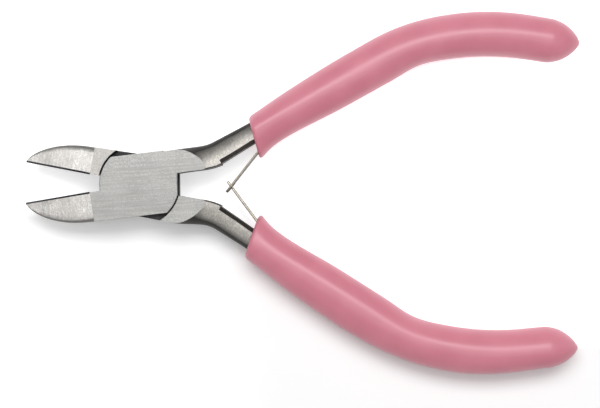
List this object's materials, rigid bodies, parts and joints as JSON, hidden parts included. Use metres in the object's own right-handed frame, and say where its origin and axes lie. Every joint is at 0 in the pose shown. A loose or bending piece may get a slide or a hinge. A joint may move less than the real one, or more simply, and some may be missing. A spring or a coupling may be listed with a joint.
{
  "type": "side cutting pliers",
  "caption": "Small side-cutting pliers with a box joint, bevelled cutting jaws, interlocked leaf springs that hold them open, and moulded sleeve grips.",
  "frame": {"origin": "on the pivot axis, at the flat back face of the box joint", "axes": "+X from the pivot along the line midway between the open handles, +Z along the pivot axis from the back face to the front face, +Y from the lower handle towards the upper one"},
  "size_m": [0.1105, 0.0725, 0.0086],
  "materials": {
    "ground_steel": "satin ground",
    "spring_steel": "bright rolled",
    "screw_steel": "turned",
    "pink_sleeve": "soft gloss vinyl"
  },
  "bodies": {
    "upper_handle": {"box_half": "ground_steel", "pivot_rivet": "ground_steel", "upper_grip": "pink_sleeve", "upper_spring_screw": "screw_steel"},
    "lower_handle": {"inner_half": "ground_steel", "lower_grip": "pink_sleeve", "lower_spring_screw": "screw_steel"},
    "upper_leaf": {"upper_leaf_spring": "spring_steel"},
    "lower_leaf": {"lower_leaf_spring": "spring_steel"}
  },
  "joints": [
    {"name": "jaw_pivot", "type": "hinge", "parent": "upper_handle", "child": "lower_handle", "pos_m": [0, 0, 0.004], "axis": [0, 0, 1], "range_deg": [-4, 20], "stiffness_Nm_per_rad": 1.05},
    {"name": "upper_leaf_flex", "type": "hinge", "parent": "upper_handle", "child": "upper_leaf", "pos_m": [0.02606, 0.00997, 0.004], "axis": [0, 0, 1], "range_deg": [-19, 4], "deforming": ["upper_leaf_spring"]},
    {"name": "lower_leaf_flex", "type": "hinge", "parent": "lower_handle", "child": "lower_leaf", "pos_m": [0.02596, -0.01029, 0.004], "axis": [0, 0, 1], "range_deg": [-4, 18], "deforming": ["lower_leaf_spring"]}
  ],
  "couplings": [
    {"joint": "upper_leaf_flex", "follows": "jaw_pivot", "ratio": -0.94},
    {"joint": "lower_leaf_flex", "follows": "jaw_pivot", "ratio": 0.87}
  ]
}
